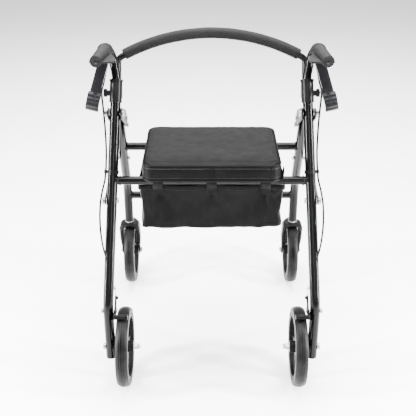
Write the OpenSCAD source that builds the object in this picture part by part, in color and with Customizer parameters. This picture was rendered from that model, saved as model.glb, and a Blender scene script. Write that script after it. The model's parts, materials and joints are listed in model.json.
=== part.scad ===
// Folding four-wheeled walker with a seat, loop brakes and a bag under the seat.
// Millimetres. +X is the user's right, +Y is forward, +Z is up. The origin is on the floor under
// the middle of the wheelbase. Lengths called "forward" are measured forward from the rear axle.

/* [Wheels] */
// Distance from the rear axle to the front axle
wheelbase = 508; // [490:1:530]
// Diameter of all four wheels
wheel_d = 203.2; // [198:0.2:206]
// Width of the tyres
tyre_w = 30; // [26:1:32]
// Half distance between the middles of the rear tyres
rear_track_half = 220; // [218:1:221]
// Distance from the caster's swivel axis to its axle
caster_trail = 27; // [20:1:30]

/* [Frame] */
// Outside diameter of the leg tubes
leg_d = 25.4; // [24:0.2:26]
// Outside diameter of the crossbars
crossbar_d = 21.4; // [19:0.2:21.6]
// Wall of every steel tube
tube_wall = 1.5; // [1.2:0.1:2]
// Height at which the rear legs start to lean forward
rear_bend_z = 220; // [215:1:225]
// Half distance between the rear legs at the floor
rear_leg_half = 256.8; // [256:0.2:258]
// Half distance between the casters' swivel axes
front_leg_half = 248; // [244:1:250]

/* [Seat and bag] */
// Height of the top of the seat
seat_z = 567; // [560:1:580]
// Width of the seat
seat_w = 340; // [300:1:360]
// Depth of the seat
seat_l = 276; // [260:1:280]
// Thickness of the cushion
cushion_t = 36; // [30:1:40]
// Width of the bag
bag_w = 372; // [320:1:380]
// Height of the bottom of the bag
bag_z = 369; // [360:1:400]

/* [Handles and backrest] */
// Outside diameter of the handle tubes
handle_d = 22.2; // [20:0.1:22.2]
// Height of the middle of the grips
grip_z = 815; // [800:1:820]
// Highest point of the backrest tube's middle line
backrest_z = 836; // [825:1:845]
// Diameter of the foam on the backrest
foam_d = 27; // [24:1:30]
// Angle that the brake levers splay outward
lever_splay = 13.5; // [8:0.5:16]

/* [Hidden] */
$fn = 64;
FIT = 0.06; // radial clearance of a pin or a shaft in its bore
GAP = 0.4; // space between pieces that move past each other
LAP = 0.6; // how far a straight length of tube laps over its bend
LAP_STEP = 0.03; // how much slimmer the bend is there

// A point: distance from the middle plane, distance forward of the rear axle, height
function at(x, forward, z) = [x, forward - wheelbase / 2, z];
function unit(v) = v / norm(v);

wheel_r = wheel_d / 2;
leg_r = leg_d / 2;
bar_r = crossbar_d / 2;
handle_r = handle_d / 2;
bore_r = leg_r - tube_wall;

// Rear leg: upright past the wheel, then leaning forward and slightly inward
rear_lean = 0.434; // forward per unit of height
rear_inset = 0.0457; // inward per unit of height
rear_foot_z = 74;
rear_top_z = 690;
rear_bend_r = 90;
function rear_axis(z) =
    at(rear_leg_half - rear_inset * (z - rear_bend_z), rear_lean * (z - rear_bend_z), z);
rear_foot = at(rear_leg_half, 0, rear_foot_z);
rear_bend = rear_axis(rear_bend_z);
rear_top = rear_axis(rear_top_z);
rear_dir = unit(rear_top - rear_bend);

// Front leg: sloping forward from the fold pivot, then upright above the caster
front_top_z = 627;
front_bend_z = 327;
front_foot_z = 218;
front_lean = 0.7;
front_bend_r = 110;
stem_forward = wheelbase - caster_trail;
front_top_half = 237.5;
front_splay = (front_leg_half - front_top_half) / (front_top_z - front_bend_z);
function front_axis(z) =
    at(front_leg_half - front_splay * (z - front_bend_z), stem_forward - front_lean * (z - front_bend_z), z);
front_top = front_axis(front_top_z);
front_bend = front_axis(front_bend_z);
front_foot = at(front_leg_half, stem_forward, front_foot_z);

// Crossbars
bar_z = 508; // the two bars under the seat
low_bar_z = 303;
rear_bar = rear_axis(bar_z);
front_bar = front_axis(bar_z);
low_bar = at(front_leg_half, stem_forward, low_bar_z);

// Fold pivot and its bracket
pivot_z = 658;
pivot = rear_axis(pivot_z);
pivot_bolt_r = 4;
cheek_t = 3;
cheek_mid = 237.2;
cheek_gap = 14.7; // from the bracket's middle plane to each cheek
gusset_z = 602;

// Side links
link_z = 462;
link_w = 20;
link_t = 3;
link_rise = 12; // slope of each link when the frame is open
link_a = rear_axis(link_z);
link_b = front_axis(link_z);
link_half = (link_b[1] - link_a[1]) / 2;
link_m = [0, link_a[1] + link_half, link_z + link_half * tan(link_rise)];
rear_link_x = 259.4;
front_link_x = rear_link_x + link_t + 0.6;
link_bolt_r = 4;

// Wheels
tyre_inner_r = wheel_r - 17.6;
tread_r = 24; // crown of the tread
rim_r = 76; // inner face of the rim
hub_half = 22.5;
hub_r = 15;
hub_web_r = 21;
spoke_count = 5;
axle_r = 4;
bearing_r = 11;
bearing_w = 7;

// Caster fork
fork_half = 27.5;
fork_t = 4;
crown_z = 207;
crown_t = 6;
stem_r = 6;

// Handle and height collar
collar_r = 15.5;
collar_lo = 683;
collar_hi = 734;
kink_z = 741;
handle_kink = rear_axis(kink_z);
handle_corner = at(248, 258, grip_z - 4);
grip_back = at(262.4, 89, grip_z);
grip_dir = unit(grip_back - handle_corner);
handle_bend_r = 32;
grip_front_l = 62; // from the tube's corner to the front of the grip
housing_l = 14;
handle_travel = 125;
slot_r = pivot_bolt_r + GAP + 0.2; // slot in the handle tube, round the fold pivot bolt
slot_l = handle_travel + 1;
knob_z = 704;
knob_at = rear_axis(knob_z);

// Backrest
backrest_r = 8;
foam_half = 215;
foam_end_z = 783;
arch_rise = backrest_z - foam_end_z;
arch_r = (foam_half * foam_half + arch_rise * arch_rise) / (2 * arch_rise);
arch_a = asin(foam_half / arch_r);
arch_lean = 0.3; // forward per unit of height
arch_end_forward = 270;
foot_bend_r = 16;
foot_out = 16.5;
function on_arch(x, z) = at(x, arch_end_forward + arch_lean * (z - foam_end_z), z);
arch_peak = on_arch(0, foam_end_z + foam_half * tan(arch_a));
arch_foot = on_arch(foam_half + foot_out, foam_end_z - foot_out * tan(arch_a));
foot_z = 688;
socket_r = 10.5;
socket_dir = unit([0, rear_lean, 1]); // both feet slide out of their sockets this way
backrest_foot = arch_foot - socket_dir * (arch_foot[2] - foot_z) / socket_dir[2];
socket_hi = backrest_foot + socket_dir * 36;

// Brake lever, in its own frame: pivot at the origin, x across, y forward, z up
lever_w = 24;
lever_wall = 7;
lever_drop = 29; // from the handle tube to the lever's pivot
lever_end = [-87, -71];
lever_toe = [-2, -50];
lever_end_r = 21;
lever_pin_r = 2.5;
tongue_half = 5;
housing_at = handle_corner + grip_dir * (grip_front_l - housing_l / 2);

// Rear brake arm, forward and up from its pivot
brake_z = 209;
brake_x = 237.2;
brake_t = 4;
brake_anchor = [22, 24];
shoe_back = 28;
shoe_r = 6;
shoe_gap = 3;
shoe_up = wheel_r + sqrt(pow(wheel_r + shoe_gap + shoe_r, 2) - shoe_back * shoe_back) - brake_z;
brake_bolt_r = 3;

// Seat
board_t = 10;
board_z = seat_z - cushion_t - board_t;
seat_back = 77;
corner_r = 25;
fitting_x = 85;
fitting_w = 30;

// Bag
bag_back = 131;
bag_l = 216;
bag_top = 494;
bag_wall = 3;
loop_x = 133;
loop_w = 25;

// Brake cable on the right side, from the lever's housing to the hole under the leg's bend
cable_r = 2.5;
wire_r = 0.9;
clip_z = 527;
CABLE = [
    [263, -23, 790], [268, -20, 772], [272, -19, 745], [273, -23, 715], [271, -32, 685],
    [267, -48, 655], [263, -68, 620], [260, -92, 575], [260, -109, 545], [261, -118, 527],
    [263, -129, 508], [268, -149, 488], [272, -168, 462], [273, -184, 430], [271, -197, 395],
    [266, -206, 360], [259, -212, 335], [254, -217, 314], [253, -223, 295], [251, -228, 277],
    [246, -226, 264], [241, -223, 255]
];
WIRE = [[240.5, -222.5, 254], [240.1, -224.5, 248], [239.6, -227.5, 241.8]];

// ---------- helpers ----------

// Places children at a with their z axis towards b and their x axis nearly sideways
module aim(a, b) {
    z = unit(b - a);
    y = unit(cross(z, [1, 0, 0]));
    x = cross(y, z);
    multmatrix([
        [x[0], y[0], z[0], a[0]],
        [x[1], y[1], z[1], a[1]],
        [x[2], y[2], z[2], a[2]],
        [0, 0, 0, 1]
    ]) children();
}

// Round rod from a to b
module rod(a, b, r) {
    aim(a, b) cylinder(r=r, h=norm(b - a));
}

// Round rod along X from x0 to x1 through the point p
module pin_x(p, x0, x1, r) {
    translate([min(x0, x1), p[1], p[2]]) rotate([0, 90, 0]) cylinder(r=r, h=abs(x1 - x0));
}

function turn_angle(a, b, c) = acos(unit(b - a) * unit(c - b));
function trim(a, b, c, bend_r) = bend_r * tan(turn_angle(a, b, c) / 2);

// Bend of a round bar at the corner b
module elbow(a, b, c, bend_r, r, part=[0, 1]) {
    u = unit(b - a);
    w = unit(c - b);
    turn = turn_angle(a, b, c);
    n = unit(w - u * (u * w));
    s = b - u * trim(a, b, c, bend_r);
    centre = s + n * bend_r;
    k = cross(-n, u);
    multmatrix([
        [-n[0], u[0], k[0], centre[0]],
        [-n[1], u[1], k[1], centre[1]],
        [-n[2], u[2], k[2], centre[2]],
        [0, 0, 0, 1]
    ])
        rotate([0, 0, turn * part[0]])
            rotate_extrude(angle=turn * (part[1] - part[0]), $fn=128)
                translate([bend_r, 0]) circle(r=r, $fn=64);
}

// Round bar through the points, bent at each inner point to its radius in bends
module bent_bar(points, bends, r) {
    last = len(points) - 1;
    cuts = [
        for (i = [0:last])
            (i == 0 || i == last) ? 0 : trim(points[i - 1], points[i], points[i + 1], bends[i])
    ];
    union() {
        // each straight laps a little over the slightly slimmer bends next to it
        for (i = [0:last - 1]) {
            u = unit(points[i + 1] - points[i]);
            start = cuts[i] - (i == 0 ? 0 : LAP);
            end = cuts[i + 1] - (i == last - 1 ? 0 : LAP);
            rod(points[i] + u * start, points[i + 1] - u * end, r);
        }
        for (i = [1:last - 1])
            elbow(points[i - 1], points[i], points[i + 1], bends[i], r - LAP_STEP);
    }
}

// The points with both ends moved outward by a little
function longer(points, by) =
    let (last = len(points) - 1)
        [
            for (i = [0:last])
                i == 0 ? points[0] - unit(points[1] - points[0]) * by
                : i == last ? points[last] + unit(points[last] - points[last - 1]) * by
                : points[i]
        ];

module bent_tube(points, bends, r, wall=tube_wall) {
    difference() {
        bent_bar(points, bends, r);
        bent_bar(longer(points, 1), bends, r - wall);
    }
}

module both_sides() {
    children();
    mirror([1, 0, 0]) children();
}

// Bolt along X with a round shank and a domed head at x_head
module bolt_x(p, x_head, x_end, r, head_r, head_t) {
    s = sign(x_head - x_end);
    pin_x(p, x_head, x_end, r);
    pin_x(p, x_head, x_head + s * head_t, head_r);
}

// Acorn nut along X, on the face at x0, with its dome in the direction s
module acorn_x(p, x0, s, r) {
    difference() {
        union() {
            translate([x0, p[1], p[2]]) rotate([0, s * 90, 0]) cylinder(r=r * 1.1, h=r, $fn=6);
            pin_x(p, x0 + s * r * 0.5, x0 + s * r * 1.3, r * 0.85);
            translate([x0 + s * r * 1.3, p[1], p[2]]) sphere(r=r * 0.85, $fn=48);
        }
        pin_x(p, x0 - s, x0 + s * r * 1.1, r * 0.55);
    }
}

// Rounded plate in the YZ plane at the round places [forward, up, r] from p, from x0 towards +x
module plate_x(p, x0, t, places) {
    translate([x0, p[1], p[2]]) rotate([90, 0, 90]) linear_extrude(t)
        hull() for (c = places) translate([c[0], c[1]]) circle(r=c[2], $fn=32);
}

// Points on a smooth curve through the route
function curve_point(route, i, t) =
    let (
        last = len(route) - 1,
        a = route[max(i - 1, 0)], b = route[i], c = route[i + 1], d = route[min(i + 2, last)]
    )
        0.5 * (2 * b + (c - a) * t + (2 * a - 5 * b + 4 * c - d) * t * t
            + (3 * b - a - 3 * c + d) * t * t * t);
function smooth(route, steps) = [
    for (i = [0:len(route) - 2]) for (k = [0:steps - 1]) curve_point(route, i, k / steps),
    route[len(route) - 1]
];

// Round cord of radius r swept along the route
module cord(route, steps, r, sides) {
    path = smooth(route, steps);
    last = len(path) - 1;
    rings = [
        for (i = [0:last])
            let (
                t = unit(path[min(i + 1, last)] - path[max(i - 1, 0)]),
                v = unit(cross(t, [1, 0, 0])),
                w = cross(t, v)
            )
                for (k = [0:sides - 1])
                    path[i] + r * (cos(360 * k / sides) * v + sin(360 * k / sides) * w)
    ];
    walls = [
        for (i = [0:last - 1]) for (k = [0:sides - 1])
            let (n = (k + 1) % sides)
                [i * sides + k, i * sides + n, (i + 1) * sides + n, (i + 1) * sides + k]
    ];
    first_cap = [for (k = [0:sides - 1]) sides - 1 - k];
    last_cap = [for (k = [0:sides - 1]) last * sides + k];
    polyhedron(rings, concat([first_cap], walls, [last_cap]), convexity=10);
}

// Block with round upright corners
module rounded_block(w, l, h, r) {
    linear_extrude(h) union() {
        square([w - 2 * r, l], center=true);
        square([w, l - 2 * r], center=true);
        for (sx = [-1, 1]) for (sy = [-1, 1])
            translate([sx * (w / 2 - r), sy * (l / 2 - r)]) circle(r=r);
    }
}

// ---------- rear frame ----------

module rear_leg() {
    difference() {
        bent_tube([rear_foot, rear_bend, rear_top], [0, rear_bend_r, 0], leg_r);
        pin_x(pivot, 200, 280, pivot_bolt_r + FIT);
        pin_x(link_a, 200, 280, link_bolt_r + FIT);
        pin_x(at(0, 0, wheel_r), 200, 290, axle_r + FIT);
        pin_x(at(0, 0, brake_z), 200, 290, brake_bolt_r + FIT);
        // where the cable goes in and comes out
        rod(CABLE[16] + [8, 4, 18], CABLE[17], cable_r + 1.8);
        rod(CABLE[18], CABLE[20] + (CABLE[20] - CABLE[18]), cable_r + 1.8);
    }
}
module rear_leg_left() { color("#141414") mirror([1, 0, 0]) rear_leg(); }
module rear_leg_right() { color("#141414") rear_leg(); }

// Straight tube between the two legs, with its ends cut to fit them
module crossbar(centre, leg_low, leg_high) {
    difference() {
        pin_x(centre, -centre[0], centre[0], bar_r);
        pin_x(centre, -centre[0] - 1, centre[0] + 1, bar_r - tube_wall);
        both_sides() rod(leg_low, leg_high, leg_r + 0.03);
    }
}

module rear_crossbar() {
    color("#141414") crossbar(rear_bar, rear_axis(bar_z - 60), rear_axis(bar_z + 60));
}

module rear_leg_plugs() {
    color("#101010") both_sides() {
        translate(rear_foot - [0, 0, 3]) cylinder(r=leg_r, h=3);
        translate(rear_foot) cylinder(r=bore_r - FIT, h=12);
    }
}

// Plastic collar that clamps the handle tube, with the backrest's socket in front
module height_collar() {
    lo = rear_axis(collar_lo);
    hi = rear_axis(collar_hi);
    mouth = rear_axis(collar_hi + 5);
    web = (lo + backrest_foot) / 2;
    difference() {
        union() {
            rod(lo, hi, collar_r);
            rod(rear_axis(collar_hi - 4), hi, collar_r + 1.5);
            rod(backrest_foot - socket_dir * 3, socket_hi, socket_r);
            aim(web - rear_dir * 3, web + rear_dir)
                translate([-5, -6, 3]) cube([10, 12, 34]);
            pin_x(knob_at, knob_at[0], knob_at[0] + collar_r + 4, 7);
        }
        rod(rear_axis(collar_lo - 5), rear_top, leg_r + FIT);
        rod(rear_top - rear_dir, mouth, handle_r + FIT);
        rod(backrest_foot - socket_dir * GAP, socket_hi + socket_dir * 5, backrest_r + FIT);
        pin_x(knob_at, knob_at[0], knob_at[0] + collar_r + 10, 3.5 + FIT);
    }
}
module height_collars() { color("#0e0e0e") both_sides() height_collar(); }

module cable_clips() {
    clip_dir = unit(CABLE[10] - CABLE[8]);
    color("#0c0c0c") both_sides() difference() {
        union() {
            rod(rear_axis(clip_z - 4), rear_axis(clip_z + 4), leg_r + 1.8);
            rod(CABLE[9] - clip_dir * 4, CABLE[9] + clip_dir * 4, cable_r + 2);
        }
        rod(rear_axis(clip_z - 6), rear_axis(clip_z + 6), leg_r + 0.03);
        rod(CABLE[9] - clip_dir * 8, CABLE[9] + clip_dir * 8, cable_r + 0.15);
    }
}

// Fold pivot bolts, rear link bolts and brake pivot bolts
module rear_frame_bolts() {
    color("#b8b8b8") both_sides() {
        bolt_x(pivot, cheek_mid - cheek_gap - cheek_t - GAP, 262, pivot_bolt_r, 8, 4);
        pin_x(pivot, cheek_mid + cheek_gap + cheek_t + GAP, 262, 8);
        bolt_x(link_a, link_a[0] - leg_r - 1, rear_link_x + link_t + 5, link_bolt_r, 7, 3.5);
        pin_x(link_a, rear_link_x + link_t + GAP, rear_link_x + link_t + 6, 9);
        bolt_x(at(0, 0, brake_z), brake_x - 0.3, rear_leg_half + leg_r + 4, brake_bolt_r, 6, 2);
        pin_x(at(0, 0, brake_z), rear_leg_half + leg_r + 0.5, rear_leg_half + leg_r + 5, 6.5);
    }
}

module rear_axles() {
    outer = rear_leg_half + leg_r;
    inner = rear_track_half - hub_half;
    color("#c4c4c4") both_sides() {
        bolt_x(at(0, 0, wheel_r), outer + 0.5, inner - 8, axle_r, 8, 5);
        difference() {
            pin_x(at(0, 0, wheel_r), rear_track_half + hub_half + 0.3, rear_leg_half - leg_r - 0.1, 7);
            pin_x(at(0, 0, wheel_r), 200, 290, axle_r + FIT);
        }
        difference() {
            acorn_x(at(0, 0, wheel_r), inner - 0.4, -1, 8);
            pin_x(at(0, 0, wheel_r), inner - 8.5, inner + 5, axle_r + 0.02);
        }
    }
}

// ---------- front frame ----------

module front_leg() {
    difference() {
        bent_tube([front_top, front_bend, front_foot], [0, front_bend_r, 0], leg_r);
        pin_x(front_axis(front_top_z - 10), 200, 280, pivot_bolt_r + FIT);
        pin_x(front_axis(gusset_z - 10), 200, 280, pivot_bolt_r + FIT);
        pin_x(link_b, 200, 280, link_bolt_r + FIT);
    }
}
module front_leg_left() { color("#141414") mirror([1, 0, 0]) front_leg(); }
module front_leg_right() { color("#141414") front_leg(); }

module front_crossbars() {
    color("#141414") {
        crossbar(front_bar, front_axis(bar_z - 60), front_axis(bar_z + 60));
        difference() {
            pin_x(low_bar, -low_bar[0], low_bar[0], bar_r);
            pin_x(low_bar, -low_bar[0] - 1, low_bar[0] + 1, bar_r - tube_wall);
            both_sides() bent_bar([front_top, front_bend, front_foot], [0, front_bend_r, 0], leg_r + 0.03);
        }
    }
}

// Two cheeks that hang the front leg from the fold pivot
module pivot_bracket() {
    top = front_top - pivot;
    low = front_axis(gusset_z) - pivot;
    places = [[0, 0, 14], [top[1] - 2, top[2] - 2, 15], [low[1], low[2], 13]];
    difference() {
        for (x0 = [cheek_mid - cheek_gap - cheek_t, cheek_mid + cheek_gap])
            plate_x(pivot, x0, cheek_t, places);
        pin_x(pivot, 200, 280, pivot_bolt_r + FIT + 0.02);
        pin_x(front_axis(front_top_z - 10), 200, 280, pivot_bolt_r + FIT);
        pin_x(front_axis(gusset_z - 10), 200, 280, pivot_bolt_r + FIT);
    }
}
module pivot_brackets() { color("#2a2a2a") both_sides() pivot_bracket(); }

// Bracket bolts and front link bolts
module front_frame_bolts() {
    inner = cheek_mid - cheek_gap - cheek_t;
    outer = cheek_mid + cheek_gap + cheek_t;
    color("#b8b8b8") both_sides() {
        for (z = [front_top_z - 10, gusset_z - 10]) {
            bolt_x(front_axis(z), inner - 0.05, outer + 1, pivot_bolt_r, 7, 3.5);
            pin_x(front_axis(z), outer + 0.05, outer + 4, 7);
        }
        bolt_x(link_b, link_b[0] - leg_r - 1, front_link_x + link_t + 5, link_bolt_r, 7, 3.5);
        pin_x(link_b, link_b[0] + leg_r + 1, front_link_x - GAP, 7);
        pin_x(link_b, front_link_x + link_t + GAP, front_link_x + link_t + 6, 9);
    }
}

module front_leg_plugs() {
    along = unit(front_bend - front_top);
    color("#101010") both_sides() {
        rod(front_top - along * 3, front_top, leg_r);
        rod(front_top, front_top + along * 8, bore_r - FIT);
    }
}

// Flanged bushes in the foot of each front leg, one at the mouth and one above
module caster_bushings() {
    color("#d8d8d0") both_sides() translate([front_foot[0], front_foot[1], 0]) difference() {
        union() {
            translate([0, 0, front_foot_z - 1.5]) cylinder(r=leg_r, h=1.5);
            translate([0, 0, front_foot_z]) cylinder(r=bore_r - FIT, h=22);
            translate([0, 0, front_foot_z + 48]) cylinder(r=bore_r - FIT, h=14);
        }
        translate([0, 0, front_foot_z - 5]) cylinder(r=stem_r + FIT, h=100);
    }
}

// ---------- side links ----------

module rear_link() {
    reach = [link_m[1] - link_a[1], link_m[2] - link_a[2]];
    difference() {
        union() {
            plate_x(link_a, rear_link_x, link_t, [[0, 0, link_w / 2], [reach[0], reach[1], link_w / 2]]);
            pin_x(link_m, rear_link_x - 2.5, rear_link_x + 1, 6);
        }
        pin_x(link_a, 200, 280, link_bolt_r + FIT + 0.02);
    }
}
module rear_link_left() { color("#181818") mirror([1, 0, 0]) rear_link(); }
module rear_link_right() { color("#181818") rear_link(); }

module front_link() {
    reach = [link_m[1] - link_b[1], link_m[2] - link_b[2]];
    difference() {
        union() {
            plate_x(link_b, front_link_x, link_t, [[0, 0, link_w / 2], [reach[0], reach[1], link_w / 2]]);
            pin_x(link_m, front_link_x + 1, front_link_x + link_t + 3, 7);
        }
        pin_x(link_b, 200, 290, link_bolt_r + FIT + 0.02);
    }
}
module front_link_left() { color("#181818") mirror([1, 0, 0]) front_link(); }
module front_link_right() { color("#181818") front_link(); }

// ---------- wheels, in their own frame: axle along x through the origin ----------

module wheel_tyre() {
    crown_at = wheel_r - tread_r;
    rotate([0, 90, 0]) rotate_extrude($fn=128) difference() {
        intersection() {
            translate([crown_at, 0]) circle(r=tread_r);
            translate([tyre_inner_r, -tyre_w / 2]) square([wheel_r, tyre_w]);
        }
        for (y = [-5, 0, 5]) translate([wheel_r - 0.4, y]) circle(r=1.2, $fn=24);
    }
}

module wheel_rim() {
    spoke_t = 13;
    rotate([0, 90, 0]) difference() {
        union() {
            cylinder(r=hub_r, h=2 * hub_half, center=true);
            rotate_extrude($fn=128) {
                translate([rim_r, -12]) square([tyre_inner_r - rim_r - 0.02, 24]);
                translate([rim_r + 1, -14.5]) square([4, 29]);
            }
            linear_extrude(spoke_t, center=true) {
                circle(r=hub_web_r);
                for (k = [0:spoke_count - 1]) rotate(360 * k / spoke_count)
                    polygon([[hub_r, -11], [hub_r, 11], [rim_r + 2, 8], [rim_r + 2, -8]]);
            }
        }
        for (s = [-1, 1]) translate([0, 0, s * (hub_half - bearing_w / 2)])
            cylinder(r=bearing_r + 0.02, h=bearing_w + 0.01, center=true);
        cylinder(r=axle_r + 2, h=2 * hub_half + 2, center=true);
        for (k = [0:spoke_count - 1]) rotate([0, 0, 360 * k / spoke_count])
            for (s = [-1, 1]) translate([46, 0, s * (spoke_t / 2 + 2)]) cube([46, 8, 9], center=true);
    }
}

module wheel_bearings() {
    rotate([0, 90, 0]) for (s = [-1, 1])
        translate([0, 0, s * (hub_half - bearing_w / 2)]) difference() {
            cylinder(r=bearing_r, h=bearing_w, center=true);
            cylinder(r=axle_r + FIT, h=bearing_w + 1, center=true);
            for (e = [-1, 1]) translate([0, 0, e * bearing_w / 2])
                rotate_extrude() translate([7, -0.6]) square([2.6, 1.2]);
        }
}

rear_hub = at(rear_track_half, 0, wheel_r);
front_hub = at(front_leg_half, wheelbase, wheel_r);

module rear_tyre_left() { color("#1b1b1b") translate([-rear_hub[0], rear_hub[1], rear_hub[2]]) wheel_tyre(); }
module rear_tyre_right() { color("#1b1b1b") translate(rear_hub) wheel_tyre(); }
module rear_rim_left() { color("#161616") translate([-rear_hub[0], rear_hub[1], rear_hub[2]]) wheel_rim(); }
module rear_rim_right() { color("#161616") translate(rear_hub) wheel_rim(); }
module rear_bearings_left() {
    color("#a8a8a8") translate([-rear_hub[0], rear_hub[1], rear_hub[2]]) wheel_bearings();
}
module rear_bearings_right() { color("#a8a8a8") translate(rear_hub) wheel_bearings(); }

module front_tyre_left() {
    color("#1b1b1b") translate([-front_hub[0], front_hub[1], front_hub[2]]) wheel_tyre();
}
module front_tyre_right() { color("#1b1b1b") translate(front_hub) wheel_tyre(); }
module front_rim_left() {
    color("#161616") translate([-front_hub[0], front_hub[1], front_hub[2]]) wheel_rim();
}
module front_rim_right() { color("#161616") translate(front_hub) wheel_rim(); }
module front_bearings_left() {
    color("#a8a8a8") translate([-front_hub[0], front_hub[1], front_hub[2]]) wheel_bearings();
}
module front_bearings_right() { color("#a8a8a8") translate(front_hub) wheel_bearings(); }

// ---------- casters ----------

module caster_fork() {
    stem = [front_leg_half, front_foot[1], 0];
    difference() {
        union() {
            translate(stem + [0, 0, crown_z]) linear_extrude(crown_t) union() {
                circle(r=20);
                square([2 * fork_half, 30], center=true);
            }
            for (x0 = [-fork_half, fork_half - fork_t])
                translate([stem[0] + x0, stem[1], 0]) rotate([90, 0, 90]) linear_extrude(fork_t) hull() {
                    translate([caster_trail, wheel_r]) circle(r=12, $fn=32);
                    translate([-15, crown_z]) square([30, crown_t]);
                }
        }
        translate(stem + [0, 0, crown_z - 1]) cylinder(r=stem_r + FIT, h=crown_t + 2);
        pin_x(front_hub, 200, 300, axle_r + FIT);
    }
}
module caster_fork_left() { color("#151515") mirror([1, 0, 0]) caster_fork(); }
module caster_fork_right() { color("#151515") caster_fork(); }

// Stem bolt with its head under the crown and a bright nut on top
module caster_stem() {
    head_t = 2.5;
    translate([front_leg_half, front_foot[1], 0]) {
        translate([0, 0, crown_z - head_t]) cylinder(r=9, h=head_t);
        translate([0, 0, crown_z]) cylinder(r=stem_r, h=74);
        difference() {
            translate([0, 0, crown_z + crown_t]) cylinder(r=11, h=3);
            translate([0, 0, crown_z]) cylinder(r=stem_r - 1, h=20);
        }
    }
}
module caster_stem_left() { color("#cfcfcf") mirror([1, 0, 0]) caster_stem(); }
module caster_stem_right() { color("#cfcfcf") caster_stem(); }

module front_axle() {
    bolt_x(front_hub, front_leg_half + fork_half + 0.1, front_leg_half - fork_half - 1, axle_r, 8, 4);
    pin_x(front_hub, front_leg_half - fork_half - 0.1, front_leg_half - fork_half - 6, 7.5);
}
module front_axle_left() { color("#c4c4c4") mirror([1, 0, 0]) front_axle(); }
module front_axle_right() { color("#c4c4c4") front_axle(); }

// ---------- handles ----------

module handle_tube() {
    low = rear_axis(rear_top_z - 190);
    difference() {
        bent_tube(
            [low, handle_kink, handle_corner, grip_back - grip_dir * 5],
            [0, 50, handle_bend_r, 0], handle_r
        );
        // slot that lets the tube slide past the fold pivot bolt
        plate_x(
            pivot, pivot[0] - 20, 40,
            [[0, 0, slot_r], [-slot_l * rear_dir[1], -slot_l * rear_dir[2], slot_r]]
        );
    }
}
module handle_tube_left() { color("#141414") mirror([1, 0, 0]) handle_tube(); }
module handle_tube_right() { color("#141414") handle_tube(); }

// Grip with a flange at the front, a waist, a flat end and a palm rest on its inner side
module grip() {
    l = norm(grip_back - handle_corner) - grip_front_l;
    start = handle_corner + grip_dir * grip_front_l;
    difference() {
        aim(start, start + grip_dir) union() {
            rotate_extrude() polygon([
                [0, 0], [18, 0], [19, 1.5], [19, 4], [17.5, 6], [16.5, 20], [16, l * 0.35],
                [15, l * 0.6], [14.2, l * 0.8], [14, l - 3], [13, l], [0, l]
            ]);
            hull() for (c = [
                [14, 0.30, 7], [30, 0.62, 6], [33, 0.86, 5], [6, 0.95, 7], [-12, 0.9, 4], [-14, 0.6, 4]
            ])
                translate([-c[0], -3, c[1] * l]) rotate([90, 0, 0])
                    cylinder(r=c[2] * 1.2, h=4.5, center=true, $fn=32);
        }
        bent_bar([handle_kink, handle_corner, grip_back - grip_dir * 4.9], [0, handle_bend_r, 0], handle_r + 0.03);
        rod(grip_back - grip_dir * 6, grip_back + grip_dir, 2);
    }
}
module grip_left() { color("#3a3a3a") mirror([1, 0, 0]) grip(); }
module grip_right() { color("#3a3a3a") grip(); }

// Places children in the lever's frame
module lever_frame() {
    translate(housing_at) rotate([0, -lever_splay, 0]) translate([0, 0, -lever_drop]) children();
}

module brake_housing() {
    front = housing_at - grip_dir * housing_l / 2;
    back = housing_at + grip_dir * (housing_l / 2 - 0.2);
    barrel_top = CABLE[0] + [-5, -3, 14];
    barrel_end = CABLE[0] + [0.5, -0.5, -3];
    difference() {
        union() {
            rod(front, back, handle_r + 5);
            lever_frame() {
                translate([-tongue_half, -6, 0]) cube([2 * tongue_half, 12, lever_drop - 8]);
                rotate([0, 90, 0]) cylinder(r=7, h=2 * tongue_half, center=true);
                rotate([0, 90, 0]) cylinder(r=lever_pin_r, h=lever_w + 1, center=true);
            }
            rod(barrel_top, barrel_end, cable_r + 3);
            translate(barrel_top) sphere(r=cable_r + 3);
            rod(barrel_top, housing_at + [8, 0, 4], cable_r + 2.5);
        }
        bent_bar([handle_kink, handle_corner, grip_back], [0, handle_bend_r, 0], handle_r + 0.03);
        rod(barrel_end + [-1, 1.5, 8], barrel_end + [1, 0, -6], cable_r + 0.5);
    }
}
module brake_housing_left() { color("#161616") mirror([1, 0, 0]) brake_housing(); }
module brake_housing_right() { color("#161616") brake_housing(); }

// Closed loop lever: pull it up to brake
module brake_lever() {
    outer = [[0, 0, 10], [lever_end[0], lever_end[1], lever_end_r], [lever_toe[0], lever_toe[1], 10]];
    inner = [
        [-15, -19, 3], [lever_end[0] + 2, lever_end[1] + 1, lever_end_r - lever_wall], [lever_toe[0] - 3, lever_toe[1], 3]
    ];
    lever_frame() difference() {
        union() {
            plate_x([0, 0, 0], -lever_w / 2, lever_w, outer);
            // ribs for the fingers
            for (a = [110:16:254])
                translate([0, lever_end[0] + (lever_end_r - 0.6) * cos(a), lever_end[1] + (lever_end_r - 0.6) * sin(a)])
                    rotate([0, 90, 0]) cylinder(r=1.8, h=lever_w + 3, center=true, $fn=16);
        }
        plate_x([0, 0, 0], -lever_w / 2 - 1, lever_w + 2, inner);
        translate([-tongue_half - GAP, -14, -8.5]) cube([2 * (tongue_half + GAP), 28, 30]);
        rotate([0, 90, 0]) cylinder(r=lever_pin_r + FIT, h=lever_w + 5, center=true);
    }
}
module brake_lever_left() { color("#202020") mirror([1, 0, 0]) brake_lever(); }
module brake_lever_right() { color("#202020") brake_lever(); }

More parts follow.
